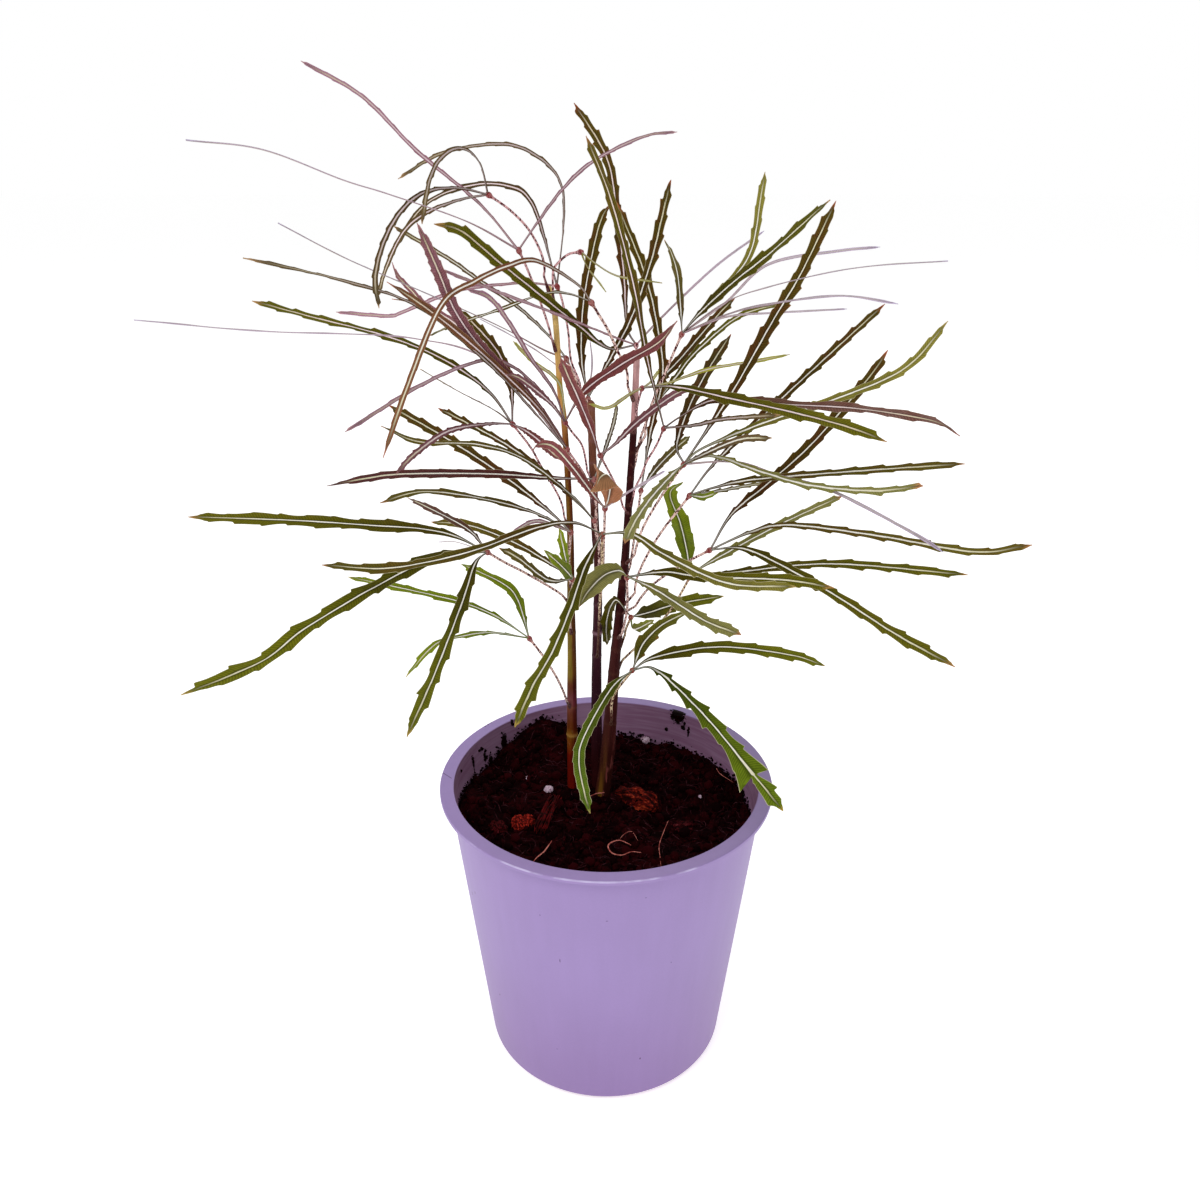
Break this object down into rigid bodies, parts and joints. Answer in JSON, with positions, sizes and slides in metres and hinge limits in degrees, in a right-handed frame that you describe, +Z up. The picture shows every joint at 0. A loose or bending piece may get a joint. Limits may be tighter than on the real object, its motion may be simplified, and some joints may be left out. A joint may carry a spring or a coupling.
{
  "type": "potted false aralia",
  "caption": "Potted false aralia: slim stems with palmate leaves of narrow toothed leaflets, standing in peat in a tapered plastic pot.",
  "frame": {"origin": "middle of the pot's flat underside, on the surface that the pot stands on", "axes": "+Z up along the pot's axis; -Y towards the viewer of the reference picture; +X to that viewer's right"},
  "size_m": [0.2463, 0.2082, 0.3456],
  "materials": {
    "pot_plastic": "smooth moulded lavender plastic, slightly glossy",
    "peat": "rough damp dark brown peat",
    "stem_bark": "smooth young bark, flecked",
    "leaf_young": "satin leaf skin, mauve brown",
    "leaf_grown": "satin leaf skin, dark olive with a pale rib",
    "leaf_old": "satin leaf skin, bright green with a pale rib",
    "perlite_grain": "matt porous white",
    "bark_chip": "rough fibrous bark"
  },
  "bodies": {
    "root": {"bark_dull": "bark_chip", "bark_orange": "bark_chip", "bark_red": "bark_chip", "bark_right": "bark_chip", "leaf_left_bud": "leaf_young", "leaf_left_crown": "leaf_young", "leaf_left_high": "leaf_young", "leaf_left_inner": "leaf_grown", "leaf_left_low": "leaf_grown", "leaf_left_lowest": "leaf_grown", "leaf_left_mid": "leaf_grown", "leaf_left_top": "leaf_young", "leaf_middle_back": "leaf_grown", "leaf_middle_crown": "leaf_young", "leaf_middle_curl": "leaf_grown", "leaf_middle_fan": "leaf_grown", "leaf_middle_high": "leaf_grown", "leaf_middle_low": "leaf_old", "leaf_middle_main": "leaf_young", "leaf_middle_red": "leaf_young", "leaf_middle_side": "leaf_grown", "leaf_middle_young": "leaf_young", "leaf_right_back": "leaf_grown", "leaf_right_bud": "leaf_young", "leaf_right_crown": "leaf_grown", "leaf_right_fan": "leaf_grown", "leaf_right_front": "leaf_grown", "leaf_right_high": "leaf_grown", "leaf_right_inner": "leaf_old", "leaf_right_low": "leaf_grown", "leaf_right_lower": "leaf_old", "leaf_right_lowest": "leaf_old", "leaf_right_main": "leaf_young", "leaf_right_side": "leaf_grown", "leaf_right_tall": "leaf_grown", "leaf_right_top": "leaf_young", "peat": "peat", "perlite_front": "perlite_grain", "perlite_left": "perlite_grain", "perlite_right": "perlite_grain", "perlite_small": "perlite_grain", "pot": "pot_plastic", "stem_left": "stem_bark", "stem_middle": "stem_bark", "stem_right": "stem_bark"}
  },
  "joints": []
}
